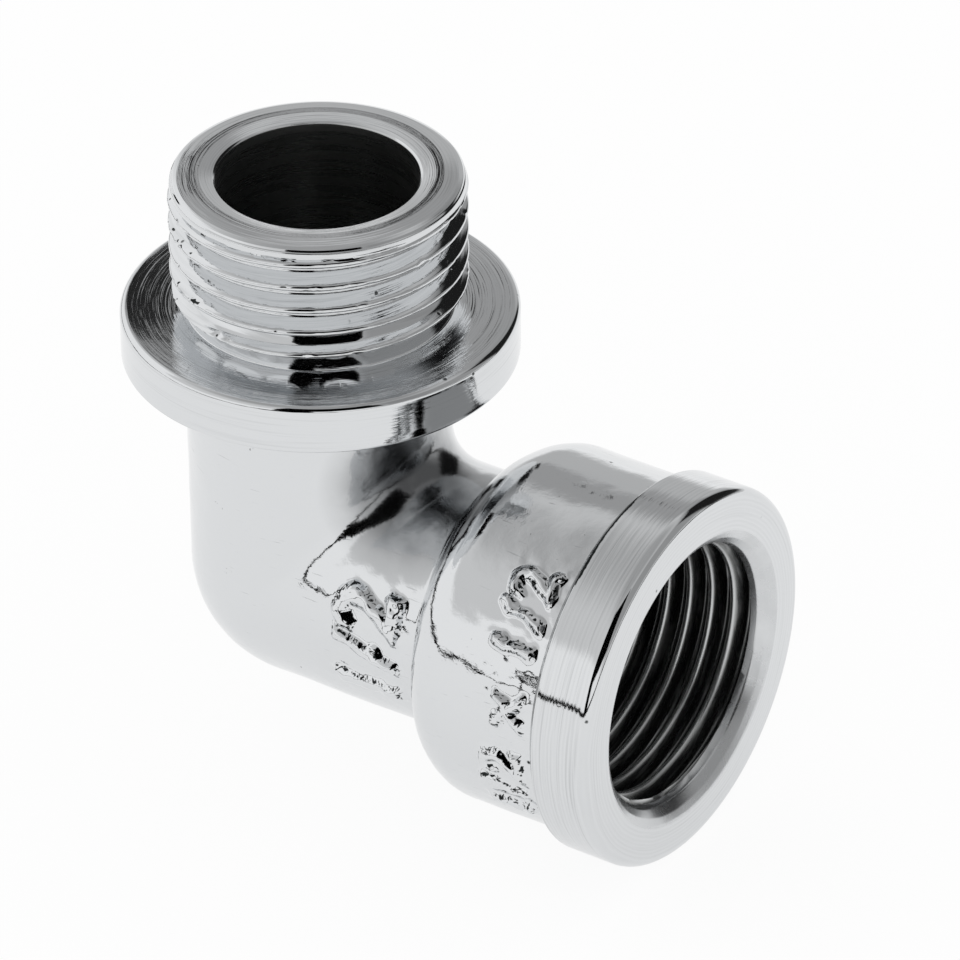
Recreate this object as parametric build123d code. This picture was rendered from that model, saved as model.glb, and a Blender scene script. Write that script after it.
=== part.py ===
from build123d import *
from math import radians, tan
import os

# Street elbow: a 90 degree pipe bend with a G 1/2 outside thread on one end and a
# G 1/2 inside thread on the other, cast in brass, turned and chrome plated. One piece.
# Millimetres. +Z leaves the male end and +X leaves the female end. The origin is where
# the male axis meets the upper face of the collar, the face that a washer seats on.

# Pipe thread G 1/2, both ends
thread_major = 20.955
thread_minor = 18.631

# Male end, turned on the Z axis
male_length = 10.4        # end face above the collar
male_end_dia = 20.4       # across the end face, where the thread's lead-in starts
male_lead = 1.4           # height over which the lead-in widens to the full thread
male_end_round = 0.35
relief_width = 1.5        # groove where the threading tool runs out
relief_dia = 18.9
relief_corner = 0.5       # round into the collar face
waterway_dia = 14.3       # bore of the male end and of the bend
bore_chamfer = 0.45       # at the male end

# Collar
collar_dia = 28.1
collar_height = 3.85
collar_edge = 0.3

# Cast bend
axis_drop = 20.55         # collar face down to the female axis
tube_dia = 18.9
core_shift = 0.2          # the casting lies this far outward of the turned male axis
branch_slim = 0.1         # the female branch is this much thinner in radius
crotch_round = 3.0
collar_root = 0.6         # round from the tube into the collar's underside

# Female end, turned on the X axis
female_reach = 31.2       # male axis to the front face
socket_dia = 26.2
shoulder_x = 14.2         # where the socket's back rises from the branch
shoulder_angle = 71       # degrees between that back and the axis
shoulder_round = 4.2
shoulder_root = 0.6
band_dia = 27.9
band_width = 4.9
band_back_round = 0.4
band_front_round = 0.8
mouth_dia = 21.5          # outer edge of the lead-in chamfer
socket_depth = 13.4       # front face to the end of the inside thread
drill_angle = 118         # point angle of the drill that opened the socket

major_r = thread_major / 2
minor_r = thread_minor / 2
water_r = waterway_dia / 2
collar_r = collar_dia / 2
tube_r = tube_dia / 2
branch_r = tube_r - branch_slim
socket_r = socket_dia / 2
band_r = band_dia / 2
mouth_r = mouth_dia / 2
mouth_chamfer = mouth_r - minor_r
near = 0.01               # tolerance when an edge is looked up by its place

# The female axis and the bend's own centre
female_axis = Axis((0, 0, -axis_drop), (1, 0, 0))
bend_centre = Pos(-core_shift, 0, -axis_drop)


def outline_xz(points):
    """A closed flat outline in the XZ plane, ready to be turned about an axis."""
    return Plane.XZ * make_face(Polyline(*points, close=True))


def round_corner(face, corner, radius):
    """Round the corner of an outline that lies nearest to a point of the XZ plane."""
    spot = Vector(corner[0], 0, corner[1])
    return fillet(face.vertices().sort_by_distance(spot)[0], radius)


def circle_edges(solid, axis, place):
    """The round edges that lie at one place along an axis, smallest first."""
    rings = solid.edges().filter_by(GeomType.CIRCLE)
    return rings.filter_by_position(axis, place - near, place + near).sort_by(SortBy.RADIUS)


# Male shank and collar, one outline turned about Z: radius, height
shank_outline = outline_xz(
    [
        (0, male_length),
        (male_end_dia / 2, male_length),
        (major_r, male_length - male_lead),
        (major_r, relief_width + major_r - relief_dia / 2),
        (relief_dia / 2, relief_width),
        (relief_dia / 2, 0),
        (collar_r, 0),
        (collar_r, -collar_height),
        (0, -collar_height),
    ]
)
for corner, radius in (
    ((male_end_dia / 2, male_length), male_end_round),
    ((relief_dia / 2, 0), relief_corner),
    ((collar_r, 0), collar_edge),
    ((collar_r, -collar_height), collar_edge),
):
    shank_outline = round_corner(shank_outline, corner, radius)
shank = revolve(shank_outline, Axis.Z)

# The bend: the tube below the collar, a ball at the turn and the branch to the socket.
# The branch runs on into the socket's solid back, so the two join without a gap.
upward = (Align.CENTER, Align.CENTER, Align.MIN)
neck = bend_centre * Cylinder(tube_r, axis_drop - collar_height, align=upward)
ball = bend_centre * Sphere(tube_r)
branch_length = core_shift + shoulder_x + shoulder_round
branch = bend_centre * Rot(0, 90, 0) * Cylinder(branch_r, branch_length, align=upward)
bend = neck + ball + branch
bend = fillet(bend.edges().filter_by(GeomType.BSPLINE), crotch_round)

# Socket with its shoulder and turned band, one outline turned about the female axis
band_back = female_reach - band_width
shoulder_top = shoulder_x + (socket_r - branch_r) / tan(radians(shoulder_angle))
socket_outline = outline_xz(
    [
        (shoulder_x, -axis_drop),
        (shoulder_x, branch_r - axis_drop),
        (shoulder_top, socket_r - axis_drop),
        (band_back, socket_r - axis_drop),
        (band_back, band_r - axis_drop),
        (female_reach, band_r - axis_drop),
        (female_reach, -axis_drop),
    ]
)
for corner, radius in (
    ((shoulder_top, socket_r - axis_drop), shoulder_round),
    ((band_back, band_r - axis_drop), band_back_round),
    ((female_reach, band_r - axis_drop), band_front_round),
):
    socket_outline = round_corner(socket_outline, corner, radius)
socket = revolve(socket_outline, female_axis)

# Join the casting and round the two roots where the tube meets collar and shoulder
body = shank + bend + socket
body = fillet(circle_edges(body, Axis.Z, -collar_height)[0], collar_root)
body = fillet(circle_edges(body, Axis.X, shoulder_x)[0], shoulder_root)

# The waterway: straight bores that meet in a ball, on the turned axes
turn = Pos(0, 0, -axis_drop)
male_bore = turn * Cylinder(water_r, axis_drop + male_length, align=upward)
male_mouth = Pos(0, 0, male_length - bore_chamfer) * Cone(
    water_r, water_r + bore_chamfer, bore_chamfer, align=upward
)
water_ball = turn * Sphere(water_r)
female_bore = turn * Rot(0, 90, 0) * Cylinder(water_r, female_reach, align=upward)

# The inside thread's bore, its drill cone and the chamfer at the mouth
thread_end = female_reach - socket_depth
cone_start = thread_end - (minor_r - water_r) / tan(radians(drill_angle / 2))
thread_outline = outline_xz(
    [
        (cone_start, -axis_drop),
        (cone_start, water_r - axis_drop),
        (thread_end, minor_r - axis_drop),
        (female_reach - mouth_chamfer, minor_r - axis_drop),
        (female_reach, mouth_r - axis_drop),
        (female_reach, -axis_drop),
    ]
)
thread_bore = revolve(thread_outline, female_axis)
body = body - male_bore - male_mouth - water_ball - female_bore - thread_bore

os.makedirs("parts", exist_ok=True)
export_step(body, "parts/elbow_body.step")
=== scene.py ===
"""Looks of the street elbow: a chrome plated G 1/2 bend, male thread up, female socket to the side.

Sizes are in millimetres and in the part's own frame. A piece is made in millimetres and turned
into metres when its mesh is finished. The scale of clouds or cells counts repeats in a metre.
"""

from math import atan2, cos, degrees, hypot, pi, radians, sin, tan

import bmesh
import bpy
import numpy as np
from mathutils import Matrix, Vector, noise
from mathutils.bvhtree import BVHTree
from mathutils.kdtree import KDTree


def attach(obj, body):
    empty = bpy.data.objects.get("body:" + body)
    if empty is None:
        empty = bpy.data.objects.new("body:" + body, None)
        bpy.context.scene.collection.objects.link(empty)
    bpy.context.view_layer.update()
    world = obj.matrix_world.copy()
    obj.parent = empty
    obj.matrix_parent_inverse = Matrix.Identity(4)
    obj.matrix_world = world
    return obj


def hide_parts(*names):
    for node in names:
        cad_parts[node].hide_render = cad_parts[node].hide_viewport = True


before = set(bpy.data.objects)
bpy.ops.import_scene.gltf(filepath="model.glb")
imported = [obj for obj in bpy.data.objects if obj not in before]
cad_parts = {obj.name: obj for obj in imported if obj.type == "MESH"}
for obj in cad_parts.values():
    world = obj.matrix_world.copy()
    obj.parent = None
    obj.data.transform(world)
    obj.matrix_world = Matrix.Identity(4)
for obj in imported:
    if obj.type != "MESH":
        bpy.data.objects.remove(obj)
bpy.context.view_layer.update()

MM = 0.001
DEGREES = 180 / pi

# Pipe thread G 1/2, right hand, both ends
PITCH = 1.814
MAJOR_R = 10.4775
MINOR_R = 9.3155
THREAD_ROUND = 0.137329 * PITCH
FLANK = radians(27.5)
SWING = pi / 2 - FLANK  # how far a rounded crest or root turns to either side
CREST_PARTS = 8
ROOT_PARTS = 6
FLANK_PARTS = 4

# Male end and collar, turned on Z. The collar's upper face is at height 0
MALE_END = 10.4
WATERWAY_R = 7.15
WATERWAY_MIDDLE = 4.0
RELIEF_R = 9.42
RELIEF_TOP = 1.25
LIP_START = 9.6
COLLAR_R = 14.05
COLLAR_UNDER = -3.85
MALE_CREST = 2.102  # height of the lowest crest on the +X side
NICK_DEPTH = 0.2

# Cast bend
AXIS_DROP = 20.55
CORE_SHIFT = 0.2  # the casting lies this far towards -X of the turned axis
NECK_R = 9.45
NECK_STRAIGHT_END = -5.0
NECK_RINGS = 13
BEND_R = 9.4
BEND_RINGS = 64
INNER_BEND_RINGS = 28
BRANCH_R = 9.35
BRANCH_END_X = 13.5
CROTCH_ROUND = 3.0
INNER_CROTCH_ROUND = 0.5
CROTCH_MIDDLE = Vector((10.4, -2.6, -10.2))
HIDDEN_TOP = COLLAR_UNDER + 0.6  # the casting runs up into the collar
SKIN_FROM_R = 8.2  # what lies farther out than this is skin, what lies nearer is waterway
SOCKET_SKIN_FROM_R = 9.2  # the same beyond the branch's end
ROLL_STEPS = 8
HALVINGS = 34

# Female end, turned on the X axis at the height of -AXIS_DROP
FACE_X = 31.2
BAND_R = 13.95
BAND_BACK_X = 26.3
SOCKET_R = 13.1
SOCKET_START_X = 19.0
SOCKET_RINGS = 28
SOCKET_END_X = BAND_BACK_X + 0.35  # the casting runs on inside the band
HIDDEN_R = 11.2
SHOULDER_X = 14.2
SHOULDER_ANGLE = radians(71)
MOUTH_R = 10.75
THREAD_START_X = 29.75
THREAD_END_X = 17.9
DRILL_END_X = 16.45
FEMALE_CREST = 18.0  # place of one widest point of the thread, straight below the axis

ROUND_STEPS = 240  # columns round the turned pieces
CAST_STEPS = 256  # columns round the casting

# Raised figures
EDGE_STEP = 0.04  # how closely the outline of the figures is sampled
BESIDE_MARK = 2.2  # how far round the figures the casting is lumpy
FINE_MARGIN = 0.6  # how far round the figures the casting's mesh is finer


# Shader sums
class Reading:
    """A shader socket that can be added, multiplied and so on as a number."""

    def __init__(self, recipe, socket):
        self.recipe = recipe
        self.socket = socket

    def __add__(self, other):
        return self.recipe.maths("ADD", self, other)

    __radd__ = __add__

    def __mul__(self, other):
        return self.recipe.maths("MULTIPLY", self, other)

    __rmul__ = __mul__

    def __sub__(self, other):
        return self.recipe.maths("SUBTRACT", self, other)

    def __rsub__(self, other):
        return self.recipe.maths("SUBTRACT", other, self)

    def __truediv__(self, other):
        return self.recipe.maths("DIVIDE", self, other)


class Recipe:
    """The nodes of one material or world."""

    def __init__(self, owner):
        owner.use_nodes = True
        self.owner = owner
        self.tree = owner.node_tree
        self.tree.nodes.clear()

    def node(self, kind, settings=None, sockets=None):
        made = self.tree.nodes.new(kind)
        for name, value in (settings or {}).items():
            setattr(made, name, value)
        for name, value in (sockets or {}).items():
            if isinstance(value, Reading):
                self.tree.links.new(value.socket, made.inputs[name])
            else:
                made.inputs[name].default_value = value
        return made

    def out(self, kind, settings=None, sockets=None, name=0):
        return Reading(self, self.node(kind, settings, sockets).outputs[name])

    def maths(self, operation, *values):
        return self.out("ShaderNodeMath", {"operation": operation}, dict(enumerate(values)))

    def vector(self, operation, *values, name="Vector"):
        settings = {"operation": operation}
        return self.out("ShaderNodeVectorMath", settings, dict(enumerate(values)), name)

    def dot(self, vector, direction):
        return self.vector("DOT_PRODUCT", vector, direction, name="Value")

    def place(self):
        """Where a point lies on the object, in metres."""
        return self.out("ShaderNodeTexCoord", name="Object")

    def attribute(self, name):
        return self.out("ShaderNodeAttribute", {"attribute_name": name}, name="Fac")

    def clouds(self, vector, scale, detail, distortion=0.0):
        sockets = {"Vector": vector, "Scale": scale, "Detail": detail, "Distortion": distortion}
        return self.out("ShaderNodeTexNoise", None, sockets)

    def cells(self, vector, scale):
        """How far a point lies from the middle of its cell."""
        sockets = {"Vector": vector, "Scale": scale}
        return self.out("ShaderNodeTexVoronoi", {"feature": "F1"}, sockets, "Distance")

    def stretch(self, vector, scale, turn=(0.0, 0.0, 0.0)):
        sockets = {"Vector": vector, "Rotation": turn, "Scale": scale}
        return self.out("ShaderNodeMapping", None, sockets)

    def combine(self, first, second, third):
        return self.out("ShaderNodeCombineXYZ", None, {0: first, 1: second, 2: third})

    def between(self, value, low, high, soft):
        """1 where the value lies between low and high, fading over soft."""
        rise = self.step(value, low - soft, low + soft)
        fall = self.step(value, high - soft, high + soft)
        return rise * (1 - fall)

    def step(self, value, low, high, at_low=0.0, at_high=1.0):
        """Smooth step from at_low to at_high as the value goes from low to high."""
        settings = {"interpolation_type": "SMOOTHSTEP", "clamp": True}
        sockets = {"Value": value, "From Min": low, "From Max": high}
        sockets.update({"To Min": at_low, "To Max": at_high})
        return self.out("ShaderNodeMapRange", settings, sockets)

    def mix_colour(self, share, first, second):
        """The Mix node's colours go into its sockets 6 and 7 and come out of 2."""
        sockets = {0: share, 6: first, 7: second}
        return self.out("ShaderNodeMix", {"data_type": "RGBA"}, sockets, 2)

    def close(self, kind, surface):
        """Join the surface to the output node and hand back the finished material or world."""
        self.node(kind, None, {"Surface": surface})
        return self.owner


# Camera
VIEW_AZIMUTH = radians(34.073)
VIEW_ELEVATION = radians(32.995)
VIEW_ROLL = radians(-0.482)
LENS_PIXELS = 7896.57
PICTURE_PIXELS = 960
SENSOR = 36.0
CAMERA_PLACE = Vector((272.757, -383.485, 290.294))

towards_viewer = Vector(
    (
        sin(VIEW_AZIMUTH) * cos(VIEW_ELEVATION),
        -cos(VIEW_AZIMUTH) * cos(VIEW_ELEVATION),
        sin(VIEW_ELEVATION),
    )
)
viewer_right = Vector((cos(VIEW_AZIMUTH), sin(VIEW_AZIMUTH), 0))
viewer_up = towards_viewer.cross(viewer_right)


def set_camera():
    lens = bpy.data.cameras.new("camera")
    lens.sensor_width = SENSOR
    lens.lens = LENS_PIXELS * SENSOR / PICTURE_PIXELS
    lens.clip_start = 0.05
    lens.clip_end = 20
    camera = bpy.data.objects.new("camera", lens)
    bpy.context.scene.collection.objects.link(camera)
    across = cos(VIEW_ROLL) * viewer_right + sin(VIEW_ROLL) * viewer_up
    upward = cos(VIEW_ROLL) * viewer_up - sin(VIEW_ROLL) * viewer_right
    turn = Matrix((across, upward, towards_viewer)).transposed().to_4x4()
    camera.matrix_world = Matrix.Translation(CAMERA_PLACE * MM) @ turn
    bpy.context.scene.camera = camera


# Studio. Azimuth is counted from the viewer towards the viewer's right, in degrees
DARK_PLACES = (
    # azimuth from, to and softness, elevation from, to and softness, how dark
    (-25, 35, 1, 15, 58, 1.5, 1.0),  # the opening for the lens
    (-25, -4, 1.5, -4, 22, 1.5, 1.0),  # the slot under its left end
    (108, 148, 4, 1, 46, 3, 0.96),  # the gap in the right wall
    (-178.5, -169, 0.7, 24, 34, 1, 0.97),  # a stand behind
)
BACK_WALL_DARK = 0.46
LEFT_WALL_HIGH = 0.72
RIGHT_WALL = 0.7
RIGHT_WALL_DARK = 0.34
ROOF = 0.58
PLAIN_LIGHT = 0.9  # what lights the dull surfaces
FLOOR_SEEN = 0.92  # share of pure white in the floor as the camera sees it
FLOOR_MIRRORED = 0.68  # the same in the chrome
WHITE = (1.0, 1.0, 1.0, 1.0)
FLOOR_HEIGHT = -34.7
FLOOR_RADIUS = 600


def light_studio():
    """A light tent: dark where the viewer stands, greyer to the right, overhead and behind."""
    world = bpy.data.worlds.new("light_tent")
    bpy.context.scene.world = world
    recipe = Recipe(world)
    direction = recipe.out("ShaderNodeTexCoord", name="Generated")
    ahead = Vector((sin(VIEW_AZIMUTH), -cos(VIEW_AZIMUTH), 0))
    east = recipe.dot(direction, viewer_right)
    south = recipe.dot(direction, ahead)
    azimuth = recipe.maths("ARCTAN2", east, south) * DEGREES
    elevation = recipe.maths("ARCSINE", recipe.dot(direction, (0, 0, 1))) * DEGREES
    behind = recipe.step(azimuth, 138, 152) + recipe.step(azimuth, -172, -154, 1.0, 0.0)
    back_wall = behind * recipe.between(elevation, 5, 48, 5) * BACK_WALL_DARK
    table_edge = recipe.step(elevation, 0.6, 1.4, 1.0, 0.0) * recipe.between(azimuth, -160, 118, 8)
    dark = recipe.maths("MAXIMUM", back_wall, table_edge)
    for left, right, side_soft, low, high, height_soft, depth in DARK_PLACES:
        wide = recipe.between(azimuth, left, right, side_soft)
        tall = recipe.between(elevation, low, high, height_soft)
        dark = recipe.maths("MAXIMUM", dark, wide * tall * depth)
    bright_top = recipe.between(azimuth, -152, -107, 15) * 24
    left_wall = recipe.step(elevation - bright_top, 24, 31, 1.0, LEFT_WALL_HIGH)
    right_wall = RIGHT_WALL - recipe.between(elevation, 8, 52, 5) * RIGHT_WALL_DARK
    to_right = recipe.between(azimuth, 33, 150, 9)
    walls = left_wall * (1 - to_right) + right_wall * to_right
    tent = (1 - dark) * walls * recipe.step(elevation, 44, 72, 1.0, ROOF)
    mirrored = recipe.out("ShaderNodeLightPath", name="Is Glossy Ray")
    strength = tent * mirrored + (1 - mirrored) * PLAIN_LIGHT
    light = recipe.out("ShaderNodeBackground", None, {"Color": WHITE, "Strength": strength})
    recipe.close("ShaderNodeOutputWorld", light)


def lay_floor():
    bm = bmesh.new()
    bmesh.ops.create_circle(bm, cap_ends=True, segments=96, radius=FLOOR_RADIUS)
    bmesh.ops.translate(bm, verts=bm.verts, vec=(0, 0, FLOOR_HEIGHT))
    floor = finish_mesh("floor", bm, [white_floor()])


def white_floor():
    recipe = Recipe(bpy.data.materials.new("white_floor"))
    speckle = recipe.clouds(recipe.place(), 900.0, 3.0)
    tone = recipe.mix_colour(speckle, (0.97, 0.97, 0.97, 1), WHITE)
    sockets = {"Base Color": tone, "Roughness": 0.9, "Specular IOR Level": 0.0}
    paper = recipe.out("ShaderNodeBsdfPrincipled", None, sockets)
    glow = recipe.out("ShaderNodeEmission", None, {"Color": WHITE, "Strength": 1.0})
    seen = recipe.out("ShaderNodeLightPath", name="Is Camera Ray")
    mirrored = recipe.out("ShaderNodeLightPath", name="Is Glossy Ray")
    share = seen * FLOOR_SEEN + mirrored * FLOOR_MIRRORED
    mixed = recipe.out("ShaderNodeMixShader", None, {0: share, 1: paper, 2: glow})
    return recipe.close("ShaderNodeOutputMaterial", mixed)


# Finishes
CHROME = (0.72, 0.733, 0.745, 1)
CHROME_DULL = (0.50, 0.512, 0.52, 1)
# painted shade for the crotch between neck and branch
CROTCH_PAINTED_SHADE = (0.17, 0.175, 0.18, 1)
# dark of pits and chips, also used for painted shade
PIT_AND_SHADE = (0.02, 0.023, 0.023, 1)
BORE_DARK = (0.3, 0.31, 0.305, 1)
BORE_LIGHT = (0.46, 0.47, 0.465, 1)
# painted shade of the thread's roots, then painted highlight of its crests
THREAD_ROOT_SHADE = (0.13, 0.133, 0.132, 1)
THREAD_HIGHLIGHT = (0.6, 0.61, 0.61, 1)


def metal(recipe, tone, roughness, relief, strength, distance):
    """A metallic finish from its tone, roughness and the heights of its fine relief."""
    sockets = {"Strength": strength, "Distance": distance * MM, "Height": relief}
    bump = recipe.out("ShaderNodeBump", None, sockets)
    sockets = {"Base Color": tone, "Metallic": 1.0, "Roughness": roughness, "Normal": bump}
    skin = recipe.out("ShaderNodeBsdfPrincipled", None, sockets)
    return recipe.close("ShaderNodeOutputMaterial", skin)


def square_to(recipe, from_centre, axis):
    """The part of a vector square to the axis, and its length."""
    across = recipe.vector("MULTIPLY", from_centre, [1 - value for value in axis])
    return across, recipe.vector("LENGTH", across, name="Value")


def cast_chrome():
    """Plating over the casting: orange peel, pits and hairlines, dark smudges, and painted shade on
    the figures' flanks and in the crotch.
    """
    recipe = Recipe(bpy.data.materials.new("chrome_on_casting"))
    place = recipe.place()
    peel = recipe.clouds(place, 650.0, 2.0)
    grain = recipe.clouds(place, 3800.0, 3.0)
    where = recipe.clouds(place, 160.0, 1.0)
    pits = recipe.step(recipe.cells(place, 420.0), 0.03, 0.08, 1.0, 0.0)
    pits = pits * recipe.step(where, 0.63, 0.69)
    stretched = recipe.stretch(place, (420.0, 420.0, 8200.0), (0.4, 0.7, 0.3))
    scratches = recipe.step(recipe.clouds(stretched, 1.0, 2.0), 0.7, 0.76)
    ragged = recipe.clouds(place, 1700.0, 5.0, 2.2)
    # random dark smudges, plus painted shade along the flanks of the raised figures
    smudge_and_flank_shade = recipe.step(ragged + recipe.attribute("mark_side") * 0.25, 0.74, 0.79)
    relief = peel + ragged * 0.2 + grain * 0.05 - pits * 0.8 - scratches * 0.08
    in_crotch = recipe.attribute("in_crotch")
    # painted shade: the crotch is darkened in patches, as shade falls in the crease
    crotch_painted_shade = in_crotch * recipe.step(where + peel * 0.3, 0.45, 0.75, 0.55, 1.0)
    plating = recipe.mix_colour(scratches * 0.6, CHROME, CHROME_DULL)
    plating = recipe.mix_colour(crotch_painted_shade, plating, CROTCH_PAINTED_SHADE)
    tone = recipe.mix_colour(recipe.maths("MAXIMUM", pits, smudge_and_flank_shade), plating, PIT_AND_SHADE)
    roughness = 0.035 + grain * 0.03 + scratches * 0.1 + pits * 0.3 + in_crotch * 0.1
    return metal(recipe, tone, roughness, relief, 0.45, 0.06)


def turned_chrome(name, axis, centre, ring_depth, ripple_pitch, ripple_depth):
    """Plating over a turned face: feed lines round the axis, chips, nicks with the plating knocked
    off, and painted shade at the back of the band.
    """
    recipe = Recipe(bpy.data.materials.new(name))
    place = recipe.place()
    from_centre = recipe.vector("SUBTRACT", place, Vector(centre) * MM)
    across, radius = square_to(recipe, from_centre, axis)
    feed = (radius + recipe.dot(from_centre, axis)) / MM
    heading = recipe.vector("NORMALIZE", across)
    split = recipe.node("ShaderNodeSeparateXYZ", None, {0: heading})
    first = Reading(recipe, split.outputs["Y"])
    second = Reading(recipe, split.outputs["Z" if axis[0] else "X"])
    lines = recipe.clouds(recipe.combine(feed * 7.0, first * 1.3, second * 1.3), 1.0, 3.0)
    waves = recipe.clouds(recipe.combine(feed * 2.4, first * 2.2, second * 2.2), 1.0, 1.0)
    wobble = recipe.clouds(place, 300.0, 1.0)
    ripple = recipe.maths("SINE", feed * (2 * pi / ripple_pitch) + wobble * 5)
    grain = recipe.clouds(place, 4200.0, 2.0)
    chips = recipe.step(recipe.cells(place, 620.0), 0.06, 0.12, 1.0, 0.0)
    chips = chips * recipe.step(recipe.clouds(place, 210.0, 1.0), 0.61, 0.66)
    relief = (lines + waves * 1.2 + ripple * ripple_depth) * ring_depth + grain * 0.08 - chips
    dull = recipe.step(lines, 0.52, 0.74) * (ring_depth * 0.7)
    dull = dull + (ripple + 1) * waves * ripple_depth * 2.4
    tone = recipe.mix_colour(recipe.maths("MINIMUM", dull, 1.0), CHROME, CHROME_DULL)
    # dark where marked: real nicks on the male thread, painted shade at the back of the band
    worn_and_shade = recipe.step(recipe.attribute("bare_and_shade") + grain * 0.3 + wobble * 0.5, 0.92, 1.08)
    tone = recipe.mix_colour(recipe.maths("MAXIMUM", chips * 0.9, worn_and_shade), tone, PIT_AND_SHADE)
    roughness = 0.03 + lines * 0.05 + chips * 0.3 + worn_and_shade * 0.1
    return metal(recipe, tone, roughness, relief, 0.5, 0.03)


def mouth_metal():
    """The rounded mouth: plating left unpolished, so what it mirrors is blurred."""
    recipe = Recipe(bpy.data.materials.new("chrome_in_mouth"))
    cloud = recipe.clouds(recipe.place(), 420.0, 3.0)
    tone = recipe.mix_colour(cloud * 0.7, CHROME, CHROME_DULL)
    return metal(recipe, tone, 0.2 + cloud * 0.14, cloud, 0.3, 0.03)


def painted_shade_corner():
    """The sharp corner behind the band, painted mostly dark as shade, with patches of dull plating.
    """
    recipe = Recipe(bpy.data.materials.new("painted_shade_corner"))
    patches = recipe.clouds(recipe.place(), 330.0, 4.0)
    # painted shade in the corner, broken by patches of dull plating
    tone = recipe.mix_colour(recipe.step(patches, 0.5, 0.6), PIT_AND_SHADE, CHROME_DULL)
    return metal(recipe, tone, 0.12 + patches * 0.2, patches, 0.5, 0.04)


def bore_metal():
    """Inside the waterway the plating does not reach: dark, with drill marks round the wall."""
    recipe = Recipe(bpy.data.materials.new("dark_bore"))
    place = recipe.place()
    marks = recipe.clouds(recipe.stretch(place, (120.0, 120.0, 3000.0)), 1.0, 4.0)
    tone = recipe.mix_colour(recipe.clouds(place, 260.0, 3.0), BORE_DARK, BORE_LIGHT)
    return metal(recipe, tone, 0.2 + marks * 0.16, marks, 0.4, 0.03)


def thread_metal():
    """The inside thread: painted highlights on its crests, painted shade towards its roots, and
    fine rings of painted highlight.
    """
    recipe = Recipe(bpy.data.materials.new("tapped_thread"))
    place = recipe.place()
    from_axis = recipe.vector("SUBTRACT", place, (0, 0, -AXIS_DROP * MM))
    radius = square_to(recipe, from_axis, (1, 0, 0))[1] / MM
    # painted highlight on the crests, fading into painted shade towards the roots
    crest = recipe.step(radius, MINOR_R + 0.02, MINOR_R + 0.3, 1.0, 0.0)
    marks = recipe.clouds(recipe.stretch(place, (5200.0, 300.0, 300.0)), 1.0, 3.0)
    # fine rings of painted highlight between the crests
    lines = recipe.step(marks, 0.5, 0.68) * 0.5
    tone = recipe.mix_colour(recipe.maths("MAXIMUM", crest, lines), THREAD_ROOT_SHADE, THREAD_HIGHLIGHT)
    return metal(recipe, tone, 0.2 + marks * 0.15, marks, 0.35, 0.02)


# Turning helpers
def rounded(corners):
    """A line through (radius, height) or (place, radius) points with some corners rounded.

    Each corner is (a, b) or (a, b, round, steps).
    """
    line = []
    for spot, corner in enumerate(corners):
        here = Vector(corner[:2])
        if len(corner) == 2:
            line.append(here)
            continue
        back = (Vector(corners[spot - 1][:2]) - here).normalized()
        forth = (Vector(corners[spot + 1][:2]) - here).normalized()
        half = back.angle(forth) / 2
        reach = corner[2] / tan(half)
        centre = here + (back + forth).normalized() * (corner[2] / sin(half))
        start = here + back * reach - centre
        sweep = start.angle_signed(here + forth * reach - centre)
        for step in range(corner[3] + 1):
            turn = sweep * step / corner[3]
            line.append(centre + Matrix.Rotation(-turn, 2) @ start)
    return line


def spaced(start, end, count):
    """Points between two stations, both ends left out."""
    return [Vector(start).lerp(Vector(end), step / (count + 1)) for step in range(1, count + 1)]


def draw_on(bm, edges, move):
    """Draw an open rim on by one step; move sets each new vertex in place."""
    grown = bmesh.ops.extrude_edge_only(bm, edges=edges)["geom"]
    for vertex in grown:
        if isinstance(vertex, bmesh.types.BMVert):
            move(vertex)
    return [edge for edge in grown if isinstance(edge, bmesh.types.BMEdge) and edge.is_boundary]


def turn_on(bm, edges, line):
    """Draw a rim on along a turned outline of (radius, height) about Z."""
    for radius, height in line:

        def move(vertex):
            scale = radius / hypot(vertex.co.x, vertex.co.y)
            vertex.co = (vertex.co.x * scale, vertex.co.y * scale, height)

        edges = draw_on(bm, edges, move)
    return edges


def rim_at(bm, height):
    return [
        edge
        for edge in bm.edges
        if edge.is_boundary and all(abs(vertex.co.z - height) < 1e-4 for vertex in edge.verts)
    ]


def thread_arc(radius, middle, parts, bulge):
    """Points over a crest, with a bulge of 1, or through a root, with a bulge of -1."""
    arc = []
    for step in range(parts + 1):
        angle = -SWING + 2 * SWING * step / parts
        sunk = bulge * THREAD_ROUND * (1 - cos(angle))
        arc.append((radius - sunk, middle + THREAD_ROUND * sin(angle)))
    return arc


def thread_outline(lowest, turns, crest):
    """Radius and height along a 55 degree pipe thread, from the middle of a root upwards."""
    line = []
    for turn in range(lowest, lowest + turns):
        root = crest - PITCH / 2 + turn * PITCH
        line += thread_arc(MINOR_R, root, ROOT_PARTS, -1)[ROOT_PARTS // 2 :]
        peak = thread_arc(MAJOR_R, root + PITCH / 2, CREST_PARTS, 1)
        line += spaced(line[-1], peak[0], FLANK_PARTS - 1)
        line += peak
        next_root = thread_arc(MINOR_R, root + PITCH, ROOT_PARTS, -1)
        line += spaced(peak[-1], next_root[0], FLANK_PARTS - 1)
        line += next_root[: ROOT_PARTS // 2]
    return line


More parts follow.
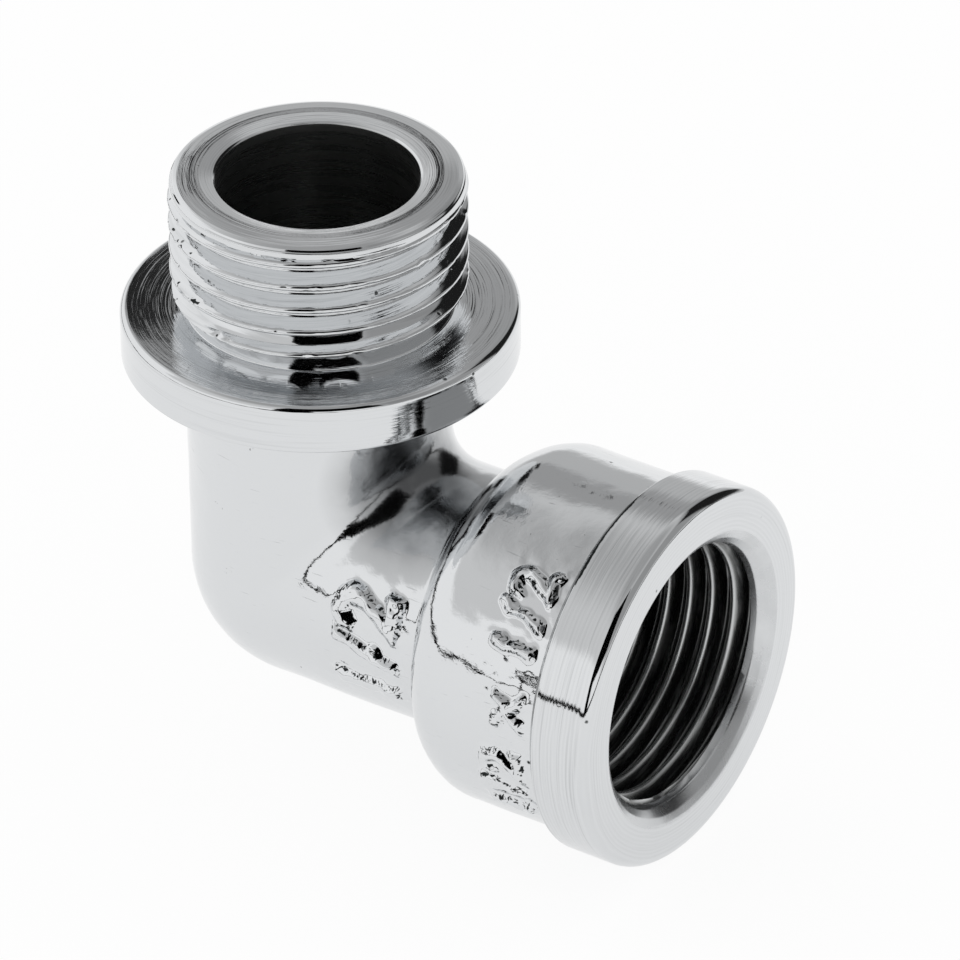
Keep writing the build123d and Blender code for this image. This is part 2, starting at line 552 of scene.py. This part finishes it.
def cut_thread(bm, crest, lowest, turns, bottom, top, limit):
    """Spin a thread about Z, hold its radius to what limit gives and part it off square.

    limit is given the radius, the height and how far above the helix of the crest a point lies.
    """
    previous = None
    for radius, height in thread_outline(lowest, turns, crest):
        vertex = bm.verts.new((radius, 0, height))
        if previous:
            bm.edges.new((previous, vertex))
        previous = vertex
    bmesh.ops.spin(
        bm,
        geom=bm.verts[:] + bm.edges[:],
        cent=(0, 0, 0),
        axis=(0, 0, 1),
        dvec=(0, 0, PITCH / ROUND_STEPS),
        angle=2 * pi,
        steps=ROUND_STEPS,
        use_merge=False,
        use_duplicate=False,
    )
    bmesh.ops.remove_doubles(bm, verts=bm.verts, dist=0.0005)
    for vertex in bm.verts:
        radius = hypot(vertex.co.x, vertex.co.y)
        climb = PITCH * atan2(vertex.co.y, vertex.co.x) / (2 * pi)
        held = limit(radius, vertex.co.z, vertex.co.z - crest - climb) / radius
        vertex.co.x *= held
        vertex.co.y *= held
    for height, side in ((bottom, -1), (top, 1)):
        bmesh.ops.bisect_plane(
            bm,
            geom=bm.verts[:] + bm.edges[:] + bm.faces[:],
            dist=1e-5,
            plane_co=(0, 0, height),
            plane_no=(0, 0, side),
            clear_outer=True,
        )


def follow(line, place):
    """Value at a place on a line of (value, place) points, held level beyond its ends."""
    places = [point[1] for point in line]
    values = [point[0] for point in line]
    return float(np.interp(place, places, values))


def dress(bm, finishes, choose):
    """Give each face the finish that choose names for its middle; hand back the materials."""
    names = list(finishes)
    for face in bm.faces:
        face.material_index = names.index(choose(face.calc_center_median()))
    return list(finishes.values())


def finish_mesh(name, bm, materials, sharp=40.0):
    bmesh.ops.recalc_face_normals(bm, faces=bm.faces)
    bmesh.ops.scale(bm, verts=bm.verts, vec=(MM, MM, MM))
    mesh = bpy.data.meshes.new(name)
    for material in materials:
        mesh.materials.append(material)
    bm.to_mesh(mesh)
    bm.free()
    mesh.shade_smooth()
    mesh.set_sharp_from_angle(angle=radians(sharp))
    made = bpy.data.objects.new(name, mesh)
    bpy.context.scene.collection.objects.link(made)
    return made


def show_piece(made):
    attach(made, "root")
    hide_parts("elbow_body")


# Male end and collar
def male_limit(radius, height, above_crest):
    """The lip fills the thread up, the relief groove cuts it down, the last groove is shallow."""
    if height <= RELIEF_TOP + 0.001:
        return RELIEF_R
    relief = follow([(RELIEF_R, RELIEF_TOP), (9.7, 1.3), (10.6, 1.7)], height)
    lip = follow([(10.6, 9.3), (10.44, 9.5), (10.36, LIP_START)], height)
    filled = follow([(8.9, 9.1), (10.28, 9.46), (10.32, LIP_START)], height)
    if above_crest < 1.25:
        shallow = [(8.0, 0.1), (9.93, 0.3), (9.9, 0.36), (9.3, 1.25)]
        filled = max(filled, follow(shallow, above_crest))
    return min(max(radius, filled), relief, lip)


def nick_crests(bm):
    """Small dents along the crests, with the plating knocked off; most lie on one side."""
    bare_and_shade = bm.verts.layers.float.new("bare_and_shade")
    for vertex in bm.verts:
        radius = hypot(vertex.co.x, vertex.co.y)
        if radius < MAJOR_R - 0.25 or not RELIEF_TOP < vertex.co.z < LIP_START - 0.1:
            continue
        around = degrees(atan2(vertex.co.y, vertex.co.x))
        often = follow([(0.2, -180), (1.0, -168), (1.0, -125), (0.2, -95), (0.15, 180)], around)
        dent = (noise.noise(vertex.co * 1.9) - 0.33) * 6 * often
        dent = min(1.0, max(0.0, dent))
        vertex[bare_and_shade] = dent
        vertex.co.x *= 1 - NICK_DEPTH * dent / radius
        vertex.co.y *= 1 - NICK_DEPTH * dent / radius


def male_finish(middle):
    radius = hypot(middle.x, middle.y)
    if radius < WATERWAY_R + 0.02:
        return "bore"
    if radius < RELIEF_R + 0.1 and middle.z < RELIEF_TOP:
        return "groove"
    if radius > COLLAR_R - 0.02:
        return "edge"
    return "collar" if middle.z < 0.02 else "thread"


def make_male_end(dark_bore):
    bm = bmesh.new()
    cut_thread(bm, MALE_CREST, -2, 8, RELIEF_TOP, LIP_START, male_limit)
    top_rim = rim_at(bm, LIP_START)
    bottom_rim = rim_at(bm, RELIEF_TOP)
    lip = [
        (10.34, 9.7),
        (10.29, 9.96, 0.1, 4),
        (10.2, 10.02, 0.05, 3),
        (10.12, 10.16, 0.06, 4),
        (9.8, 10.27, 0.12, 4),
        (9.06, 10.37, 0.1, 3),
        (8.84, MALE_END, 0.1, 3),
        (8.24, 10.38, 0.4, 4),
        (7.3, 10.17, 0.1, 3),
        (WATERWAY_R, 10.04, 0.06, 3),
        (WATERWAY_R, 9.0),
    ]
    collar = [
        (RELIEF_R, 0.9),
        (RELIEF_R, 0.0, 0.13, 4),
        (10.4, 0.0),
        (11.6, -0.02),
        (13.3, -0.1),
        (COLLAR_R, -0.13, 0.5, 8),
        (COLLAR_R, -0.9),
        (COLLAR_R, -3.0),
        (COLLAR_R, COLLAR_UNDER, 0.3, 6),
        (13.0, COLLAR_UNDER),
        (10.5, COLLAR_UNDER),
        (WATERWAY_R, COLLAR_UNDER),
    ]
    top_rim = turn_on(bm, top_rim, rounded(lip) + [(WATERWAY_R, WATERWAY_MIDDLE)])
    bottom_rim = turn_on(bm, bottom_rim, rounded(collar))
    bmesh.ops.bridge_loops(bm, edges=top_rim + bottom_rim)
    nick_crests(bm)
    axis = (0, 0, 1)
    centre = (0, 0, 0)
    finishes = {
        "thread": turned_chrome("chrome_on_thread", axis, centre, 0.7, 0.21, 0.05),
        "bore": dark_bore,
        "groove": turned_chrome("chrome_in_groove", axis, centre, 0.1, 0.21, 0.0),
        "collar": turned_chrome("chrome_on_collar", axis, centre, 0.9, 0.17, 0.04),
        "edge": turned_chrome("chrome_on_edge", axis, centre, 0.4, 0.17, 0.0),
    }
    return finish_mesh("male_end", bm, dress(bm, finishes, male_finish))


# Female end, made about Z, so that its heights turn into places along X once it is laid down
def female_limit(radius, height, above_crest):
    """Mouth and run-out of the inside thread; the height above the crest plays no part."""
    mouth = [(8.0, 0.0), (8.0, THREAD_START_X - 0.9), (9.64, THREAD_START_X), (9.8, 33.0)]
    run_out = [(MINOR_R, THREAD_END_X + 0.2), (10.6, THREAD_END_X + 1.6)]
    return max(min(radius, follow(run_out, height)), follow(mouth, height))


def shade_band_back(bm):
    """Painted shade along the back edge of the band, from its top round towards the viewer."""
    bare_and_shade = bm.verts.layers.float.new("bare_and_shade")
    for vertex in bm.verts:
        if vertex.co.z < 27.0 and hypot(vertex.co.x, vertex.co.y) > SOCKET_R + 0.1:
            around = degrees(atan2(-vertex.co.y, -vertex.co.x))
            # painted shade, strongest near the top of the band's back edge
            vertex[bare_and_shade] = follow([(0.0, -4), (1.0, 6), (0.75, 18), (1.0, 32), (0.0, 48)], around)


def female_finish(middle):
    radius = hypot(middle.x, middle.y)
    if middle.z < THREAD_START_X + 0.02 and radius < MAJOR_R + 0.05:
        return "thread" if middle.z > THREAD_END_X - 0.1 else "bore"
    if middle.z < BAND_BACK_X + 0.5:
        return "corner"
    if radius < MOUTH_R + 0.15:
        return "mouth"
    return "face" if radius < BAND_R - 0.03 else "band"


def make_female_end(dark_bore):
    bm = bmesh.new()
    start = THREAD_END_X + 0.1
    cut_thread(bm, FEMALE_CREST, -2, 10, start, THREAD_START_X, female_limit)
    mouth_and_band = [
        (9.66, THREAD_START_X + 0.05),
        (9.78, 30.3, 0.4, 5),
        (10.3, 30.85, 0.7, 6),
        (MOUTH_R + 0.1, FACE_X, 0.55, 7),
        (12.0, FACE_X),
        (BAND_R, FACE_X, 0.85, 10),
        (BAND_R, 30.0),
        (BAND_R, 27.2),
        (BAND_R, BAND_BACK_X + 0.52, 0.12, 4),
        (SOCKET_R + 0.2, BAND_BACK_X, 0.1, 3),
        (SOCKET_R - 0.5, BAND_BACK_X + 0.08),
    ]
    drill_cone = [(MINOR_R, 17.75), (8.2, 17.09), (WATERWAY_R, DRILL_END_X), (11.5, DRILL_END_X)]
    front = turn_on(bm, rim_at(bm, THREAD_START_X), rounded(mouth_and_band))
    back = turn_on(bm, rim_at(bm, start), drill_cone)
    bmesh.ops.bridge_loops(bm, edges=front + back)
    axis = (1, 0, 0)
    centre = (0, 0, -AXIS_DROP)
    finishes = {
        "band": turned_chrome("chrome_on_band", axis, centre, 0.7, 0.31, 0.06),
        "thread": thread_metal(),
        "bore": dark_bore,
        "face": turned_chrome("chrome_on_face", axis, centre, 0.25, 0.31, 0.05),
        "corner": painted_shade_corner(),
        "mouth": mouth_metal(),
    }
    materials = dress(bm, finishes, female_finish)
    shade_band_back(bm)
    lay_down = Matrix.Translation(centre) @ Matrix.Rotation(pi / 2, 4, "Y")
    bmesh.ops.transform(bm, matrix=lay_down, verts=bm.verts)
    return finish_mesh("female_end", bm, materials)


# Cast bend
class Bend:
    """Two equal tubes that meet at the corner in a ball, with the crotch between them rounded."""

    def __init__(self, radius, crotch, shift):
        self.radius = radius
        self.crotch = crotch
        self.shift = shift
        self.pivot = np.array((radius + crotch - shift, 0.0, radius + crotch - AXIS_DROP))

    def depth(self, points):
        """How far points lie outside the tubes; less than nothing is inside."""
        across = points[:, 0] + self.shift
        side = points[:, 1]
        above = points[:, 2] + AXIS_DROP
        from_corner = np.sqrt(across**2 + side**2 + above**2)
        neck = np.where(above > 0, np.hypot(across, side), from_corner)
        branch = np.where(across > 0, np.hypot(above, side), from_corner)
        skin = np.minimum(neck, branch) - self.radius
        # a ball of the crotch's radius rolls along both tubes; its centre's path is an ellipse
        reach = self.radius + self.crotch
        wide = np.sqrt(2) * reach
        diagonal = (across + above) / np.sqrt(2)
        apart = (across - above) / np.sqrt(2)
        roll = np.arctan2(side, diagonal / np.sqrt(2))
        for _ in range(ROLL_STEPS):
            gap_d = wide * np.cos(roll) - diagonal
            gap_s = reach * np.sin(roll) - side
            slope = reach * np.cos(roll) * gap_s - wide * np.sin(roll) * gap_d
            bend = (wide * np.sin(roll)) ** 2 + (reach * np.cos(roll)) ** 2
            bend -= wide * np.cos(roll) * gap_d + reach * np.sin(roll) * gap_s
            roll = np.clip(roll - slope / np.maximum(bend, reach), -pi / 2, pi / 2)
        gap_d = wide * np.cos(roll) - diagonal
        gap_s = reach * np.sin(roll) - side
        from_ball = np.sqrt(gap_d**2 + gap_s**2 + apart**2)
        centre = reach * np.cos(roll)
        crotch = np.maximum(self.crotch - from_ball, np.maximum(across - centre, above - centre))
        return np.where((across > 0) & (above > 0), np.minimum(skin, crotch), skin)

    def ring(self, angle, turns):
        """The skin in the plane at an angle about the crotch's pivot, found by halving."""
        out = np.array((-cos(angle), 0.0, -sin(angle)))
        side = np.array((0.0, 1.0, 0.0))
        centre = self.pivot + out * (self.radius + self.crotch)
        rays = np.cos(turns)[:, None] * out + np.sin(turns)[:, None] * side
        low = np.full(len(turns), self.radius * 0.3)
        high = np.full(len(turns), self.radius * 2.0)
        for _ in range(HALVINGS):
            half = (low + high) / 2
            outside = self.depth(centre + rays * half[:, None]) > 0
            high = np.where(outside, half, high)
            low = np.where(outside, low, half)
        return centre + rays * high[:, None]


def neck_ring(radius, height, turns, shift):
    level = np.full(len(turns), height)
    return np.stack((-shift - radius * np.cos(turns), radius * np.sin(turns), level), 1)


def branch_ring(place, radius, turns):
    level = np.full(len(turns), place)
    return np.stack((level, radius * np.sin(turns), -AXIS_DROP - radius * np.cos(turns)), 1)


def outside_rings(turns):
    """Down the neck, round the bend and out along the branch, into the band."""
    skin = Bend(BEND_R, CROTCH_ROUND, CORE_SHIFT)
    rings = [neck_ring(NECK_R + 0.7, HIDDEN_TOP, turns, CORE_SHIFT)]
    root = rounded(
        [
            (NECK_R + 0.95, COLLAR_UNDER),
            (NECK_R, COLLAR_UNDER, 0.6, 6),
            (NECK_R, NECK_STRAIGHT_END),
        ]
    )
    rings += [neck_ring(radius, height, turns, CORE_SHIFT) for radius, height in root]
    for step in range(1, NECK_RINGS):
        share = step / NECK_RINGS
        height = NECK_STRAIGHT_END + (skin.pivot[2] - NECK_STRAIGHT_END) * share
        rings.append(neck_ring(NECK_R + (BEND_R - NECK_R) * share, height, turns, CORE_SHIFT))
    rings += [skin.ring(pi / 2 * step / BEND_RINGS, turns) for step in range(BEND_RINGS + 1)]
    branch_start = skin.pivot[0]
    shoulder_top = SHOULDER_X + (SOCKET_R - BRANCH_R) / tan(SHOULDER_ANGLE)
    outline = rounded(
        [
            (branch_start + 0.4, BRANCH_R + 0.035),
            (branch_start + 0.9, BRANCH_R + 0.01),
            (SHOULDER_X, BRANCH_R, 0.7, 8),
            (shoulder_top, SOCKET_R, 4.2, 20),
            (SOCKET_START_X, SOCKET_R),
        ]
    )
    outline += spaced((SOCKET_START_X, SOCKET_R), (BAND_BACK_X + 0.3, SOCKET_R), SOCKET_RINGS)
    outline += [(SOCKET_END_X, SOCKET_R), (SOCKET_END_X, HIDDEN_R)]
    rings += [branch_ring(place, radius, turns) for place, radius in outline]
    return rings


def waterway_rings(turns):
    """Back inside the female end, then up through the waterway into the collar."""
    waterway = Bend(WATERWAY_R, INNER_CROTCH_ROUND, 0)
    outline = [(DRILL_END_X + 0.05, HIDDEN_R), (DRILL_END_X + 0.05, 7.6)]
    outline += [(DRILL_END_X - 0.01, WATERWAY_R)]
    outline += [(place, WATERWAY_R) for place in (14.5, 12.0, 9.5)]
    rings = [branch_ring(place, radius, turns) for place, radius in outline]
    for step in range(INNER_BEND_RINGS + 1):
        rings.append(waterway.ring(pi / 2 * (1 - step / INNER_BEND_RINGS), turns))
    outline = [(WATERWAY_R, height) for height in (-11.0, -8.0, -6.0, COLLAR_UNDER - 0.03)]
    outline += [(WATERWAY_R + 0.25, COLLAR_UNDER + 0.05), (WATERWAY_R + 0.25, HIDDEN_TOP)]
    rings += [neck_ring(radius, height, turns, 0) for radius, height in outline]
    return rings


def cast_bend():
    """The casting's mesh, drawn on from ring to ring and closed inside the collar."""
    turns = 2 * pi * np.arange(CAST_STEPS) / CAST_STEPS
    rings = outside_rings(turns) + waterway_rings(turns)
    bm = bmesh.new()
    column = bm.verts.layers.float.new("column")
    bmesh.ops.create_circle(bm, segments=CAST_STEPS, radius=1.0)
    bm.verts.ensure_lookup_table()
    for spot, vertex in enumerate(bm.verts):
        vertex[column] = spot
        vertex.co = rings[0][spot]
    rim = bm.edges[:]
    for ring in rings[1:]:

        def move(vertex):
            vertex.co = ring[int(round(vertex[column]))]

        rim = draw_on(bm, rim, move)
    start = [edge for edge in bm.edges if edge.is_boundary and edge not in rim]
    bmesh.ops.bridge_loops(bm, edges=start + rim)
    return bm


def is_skin(point):
    """False in the waterway, inside the collar and inside the band; the rest counts as skin."""
    above = point.z + AXIS_DROP
    if point.x > BRANCH_END_X:
        return hypot(point.y, above) > SOCKET_SKIN_FROM_R and point.x < BAND_BACK_X + 0.2
    away = hypot(point.x, point.y, min(above, 0.0))
    if point.x > 0:
        away = min(away, hypot(point.y, above))
    return away > SKIN_FROM_R and point.z < COLLAR_UNDER + 0.01


class RaisedMark:
    """Raised figures of the casting, wrapped round the female axis and read from below upwards."""

    def __init__(self, words, size, spread, radius, place, angle, height, flank, fatten):
        curve = bpy.data.curves.new("mark", "FONT")
        curve.body = words
        curve.size = size
        curve.space_character = spread
        curve.align_x = "CENTER"
        curve.align_y = "CENTER"
        curve.resolution_u = 8
        text = bpy.data.objects.new("mark", curve)
        bpy.context.scene.collection.objects.link(text)
        flat = bpy.data.meshes.new_from_object(text)
        bpy.data.objects.remove(text)
        bm = bmesh.new()
        bm.from_mesh(flat)
        bmesh.ops.remove_doubles(bm, verts=bm.verts, dist=1e-4)
        self.inside = BVHTree.FromBMesh(bm)
        spots = []
        for edge in bm.edges:
            if edge.is_boundary:
                ends = [vertex.co for vertex in edge.verts]
                parts = max(1, int(edge.calc_length() / EDGE_STEP))
                spots += [ends[0].lerp(ends[1], part / parts) for part in range(parts)]
        self.outline = KDTree(len(spots))
        for number, spot in enumerate(spots):
            self.outline.insert(spot, number)
        self.outline.balance()
        self.half_width = max(vertex.co.x for vertex in bm.verts)
        self.half_height = max(vertex.co.y for vertex in bm.verts)
        bm.free()
        self.radius = radius
        self.place = place
        self.angle = radians(angle)
        self.height = height
        self.flank = flank
        self.fatten = fatten

    def spot(self, point, margin):
        """Where a point of the casting lies on the flat mark, or None beyond its margin."""
        if point.y > 0:
            return None
        angle = atan2(point.z + AXIS_DROP, -point.y)
        spot = Vector((self.radius * (angle - self.angle), self.place - point.x, 0))
        if abs(spot.x) > self.half_width + margin or abs(spot.y) > self.half_height + margin:
            return None
        return spot

    def rise(self, point):
        """Share of the mark's height at a point, and how near the point is to the mark."""
        spot = self.spot(point, BESIDE_MARK)
        if spot is None:
            return 0.0, 0.0
        spot.x += noise.noise(point * 0.9) * 0.3
        spot.y += noise.noise(point * 0.9 + Vector((9, 2, 5))) * 0.3
        away = self.outline.find(spot)[2]
        hit = self.inside.ray_cast(spot + Vector((0, 0, 1)), Vector((0, 0, -1)))[0]
        depth = (away if hit else -away) + self.fatten
        share = min(1.0, max(0.0, 0.5 + depth / (2 * self.flank)))
        near = 1.0 if hit else max(0.0, 1 - away / BESIDE_MARK)
        return share * share * (3 - 2 * share), near


def uneven(spot):
    """How far the casting's skin stands out at a spot, in long, short and fine waves."""
    long_wave = noise.noise(spot * 0.16) * 0.09
    short_wave = noise.noise(spot * 0.45 + Vector((7, 3, 1))) * 0.03
    return long_wave + short_wave + noise.noise(spot * 1.1 + Vector((2, 8, 4))) * 0.008


def raise_skin(bm, marks):
    """Lift the casting's outside by its unevenness and its marks, and note where the material
    paints shade.
    """
    mark_side = bm.verts.layers.float.new("mark_side")
    in_crotch = bm.verts.layers.float.new("in_crotch")
    moves = []
    for vertex in bm.verts:
        if not is_skin(vertex.co):
            continue
        spot = vertex.co
        lift = uneven(spot)
        for mark in marks:
            share, near = mark.rise(spot)
            lift += mark.height * share * (1 + 0.25 * noise.noise(spot * 1.4))
            lift += near * noise.noise(spot * 1.3 + Vector((4, 1, 6))) * 0.075
            # highest half way up a figure's flank, where the material paints shade
            vertex[mark_side] = max(vertex[mark_side], 4 * share * (1 - share))
        away = (spot - CROTCH_MIDDLE).length
        # share of painted shade in the crotch, which also roughens it
        vertex[in_crotch] = follow([(1.0, 2.5), (0.75, 4.5), (0.25, 6.2), (0.0, 7.6)], away)
        moves.append((vertex, vertex.normal * lift))
    for vertex, shift in moves:
        vertex.co += shift


def make_casting(dark_bore):
    bm = cast_bend()
    on_branch = RaisedMark(
        "1/2",
        size=7.3,
        spread=1.05,
        radius=BEND_R,
        place=10.2,
        angle=0.0,
        height=0.55,
        flank=0.42,
        fatten=0.2,
    )
    on_socket = RaisedMark(
        "1/2 x 1/2",
        size=4.7,
        spread=1.18,
        radius=SOCKET_R,
        place=23.9,
        angle=10.0,
        height=0.46,
        flank=0.36,
        fatten=0.16,
    )
    marks = (on_branch, on_socket)
    close = set()
    for face in bm.faces:
        middle = face.calc_center_median()
        if any(mark.spot(middle, FINE_MARGIN) for mark in marks) and is_skin(middle):
            close.update(face.edges)
    bmesh.ops.subdivide_edges(bm, edges=list(close), cuts=2, use_grid_fill=True)
    bm.normal_update()
    raise_skin(bm, marks)
    finishes = {"skin": cast_chrome(), "bore": dark_bore}
    materials = dress(bm, finishes, lambda middle: "skin" if is_skin(middle) else "bore")
    return finish_mesh("cast_bend", bm, materials, sharp=60.0)


set_camera()
light_studio()
dark_bore = bore_metal()
show_piece(make_male_end(dark_bore))
show_piece(make_female_end(dark_bore))
show_piece(make_casting(dark_bore))
lay_floor()
bpy.context.scene.view_settings.view_transform = "Standard"
